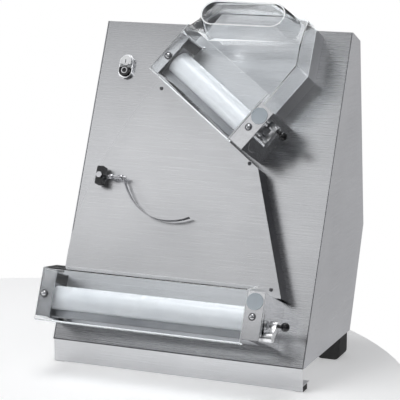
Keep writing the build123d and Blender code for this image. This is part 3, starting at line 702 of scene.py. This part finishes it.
bezel_middle = [sum(span("switch_bezel", PANEL, axis)) / 2 for axis in range(2)]
switch_place = PANEL @ Matrix.Translation((*bezel_middle, 0))
paint(black_plastic, "switch_block", "cable_gland")
rounded_copy("switch_bezel", [chrome], 1.2 * MM, 60, 3)
paint(white_gloss, "start_button")
paint(black_gloss, "stop_button")
switch_cap("start_button", 1, white_gloss)
switch_cap("stop_button", -1, black_gloss)
switch_marks()
band = block((2 * cap_radius, 1.6 * cap_gap, 2.6 * MM), (0, 0, cap_span[0] - 1.2 * MM), 0.4 * MM)
add_piece("switch_band", band, grey_plastic, place=switch_place)


# Folds and gaps between the sheets
def seam(name, width, height, middle_x, middle_v):
    """Dark line where two sheets meet on the front."""
    strip = block((width, height, seam_size[1]), (middle_x, middle_v, seam_size[1] / 2))
    return add_piece(name, strip, dark_ink, place=PANEL)


panel_x = span("front_panel", PANEL, 0)
panel_v = span("front_panel", PANEL, 1)
for side, edge in zip(("left", "right"), panel_x):
    inset = edge - seam_size[0] / 2 * (1 if edge > 0 else -1)
    seam(side + "_seam", seam_size[0], panel_v[1] - panel_v[0], inset, sum(panel_v) / 2)
seam("foot_seam", panel_x[1] - panel_x[0], 1.6 * seam_size[0], 0, panel_v[0] + seam_size[0])


# Discs over the adjusting screws on the right flanges
def flange_disc(unit):
    """Grey plastic disc with a raised rim and a dished face."""
    a, b = LENGTH[unit] + disc_place[unit][0], disc_place[unit][1]
    radius, height = disc_radius, disc_height
    profile = [
        (radius, 0),
        (radius, 0.7 * height),
        (0.97 * radius, height),
        (0.92 * radius, height),
        (0.90 * radius, 0.75 * height),
        (0, 0.75 * height),
    ]
    place = PLACE[unit] @ Matrix.Translation((a, b, DEPTH))
    return add_piece(unit + "_flange_disc", turned(profile, 64), disc_grey, place=place)


def scale_ticks(unit, material):
    """Short raised marks on an arc round the lever."""
    pivot = PLACE[unit].inverted() @ Vector(joints[unit + "_lever_turn"]["pos_m"])
    bm = bmesh.new()
    for number in range(tick_count):
        turn = radians(tick_start[unit] + number * tick_step[unit])
        length = tick_size[1] * (1 if number % 2 else 0.6)
        tick = block((tick_size[2], length, tick_size[0]), (0, tick_radius[unit], 0))
        spot = Matrix.Translation((LENGTH[unit] + tick_size[2] / 2, pivot.y, pivot.z))
        join(bm, tick, spot @ Matrix.Rotation(turn, 4, "X"))
    return add_piece(unit + "_scale", bm, material, place=PLACE[unit])


for unit in UNITS:
    flange_disc(unit)
scale_ticks("lower", dark_ink)
scale_ticks("upper", pale_ink)

# Camera
camera_turn = radians(22.296)
camera_lift = radians(12.0)
camera_roll = radians(0.161)
camera_place = Vector((1.27667, -3.11947, 1.04239))
camera_lens = 156.28
back = Vector(
    (sin(camera_turn) * cos(camera_lift), -cos(camera_turn) * cos(camera_lift), sin(camera_lift))
)
level = Vector((cos(camera_turn), sin(camera_turn), 0))
above = back.cross(level)
side = level * cos(camera_roll) + above * sin(camera_roll)
top = above * cos(camera_roll) - level * sin(camera_roll)
camera_data = bpy.data.cameras.new("camera")
camera_data.lens = camera_lens
camera_data.sensor_width = 36
camera_data.clip_end = 50
camera = bpy.data.objects.new("camera", camera_data)
camera.matrix_world = matrix_from(camera_place, side, top, back)
bpy.context.scene.collection.objects.link(camera)
bpy.context.scene.camera = camera


# Floor and light
def floor_material():
    """Plain pale floor with a barely uneven tone."""
    material, tree, shader = material_base("floor", (0.93, 0.93, 0.93), 0.6)
    shader.inputs["Emission Color"].default_value = (1, 1, 1, 1)
    shader.inputs["Emission Strength"].default_value = 0.34
    tone = grain(tree, 2.0, detail=2.0)
    tree.links.new(
        shades(tree, tone, (0.925, 0.925, 0.925), (0.935, 0.935, 0.935)), shader.inputs["Base Color"]
    )
    return material


def softbox(name, place, target, size, power):
    """Rectangular lamp that faces a target."""
    lamp = bpy.data.lights.new(name, "AREA")
    lamp.shape = "RECTANGLE"
    lamp.size, lamp.size_y = size
    lamp.energy = power
    holder = bpy.data.objects.new(name, lamp)
    holder.location = place
    holder.rotation_euler = (Vector(target) - Vector(place)).to_track_quat("-Z", "Y").to_euler()
    bpy.context.scene.collection.objects.link(holder)


floor_radius = 0.8
floor_centre = (-0.3, -0.3, 0)
floor_mesh = bmesh.new()
bmesh.ops.create_circle(floor_mesh, cap_ends=True, segments=96, radius=floor_radius)
bmesh.ops.translate(floor_mesh, vec=floor_centre, verts=floor_mesh.verts)
floor_data = bpy.data.meshes.new("floor")
floor_mesh.to_mesh(floor_data)
floor_mesh.free()
floor = bpy.data.objects.new("floor", floor_data)
floor_data.materials.append(floor_material())
bpy.context.scene.collection.objects.link(floor)

middle = (0, 0, 0.38)
softbox("key", (-0.96, -1.98, 1.74), middle, (1.4, 0.85), 3.3)
softbox("left_light", (-2.0, -1.2, 0.9), middle, (0.8, 1.0), 11)
softbox("right_light", (1.15, -2.0, 1.6), middle, (0.7, 0.7), 3)
softbox("top_light", (-0.3, -0.2, 2.3), middle, (1.2, 1.0), 20)
softbox("back_card", (1.3, 2.6, -0.1), middle, (2.0, 2.2), 8.5)


def studio_world():
    """Pale surroundings that darken towards the floor, and a white backdrop."""
    world = bpy.data.worlds.new("studio")
    world.use_nodes = True
    tree = world.node_tree
    coordinates = tree.nodes.new("ShaderNodeTexCoord")
    parts = tree.nodes.new("ShaderNodeSeparateXYZ")
    tree.links.new(coordinates.outputs["Generated"], parts.inputs["Vector"])
    sky = shades(tree, parts.outputs["Z"], (0.04, 0.04, 0.042), (0.22, 0.225, 0.235), 0.0, 0.7)
    tree.links.new(sky, tree.nodes["Background"].inputs["Color"])
    backdrop = tree.nodes.new("ShaderNodeBackground")
    backdrop.inputs["Color"].default_value = (1, 1, 1, 1)
    rays = tree.nodes.new("ShaderNodeLightPath")
    mix = tree.nodes.new("ShaderNodeMixShader")
    tree.links.new(rays.outputs["Is Camera Ray"], mix.inputs["Fac"])
    tree.links.new(tree.nodes["Background"].outputs["Background"], mix.inputs[1])
    tree.links.new(backdrop.outputs["Background"], mix.inputs[2])
    tree.links.new(mix.outputs["Shader"], tree.nodes["World Output"].inputs["Surface"])
    bpy.context.scene.world = world


studio_world()
bpy.context.scene.view_settings.view_transform = "Standard"
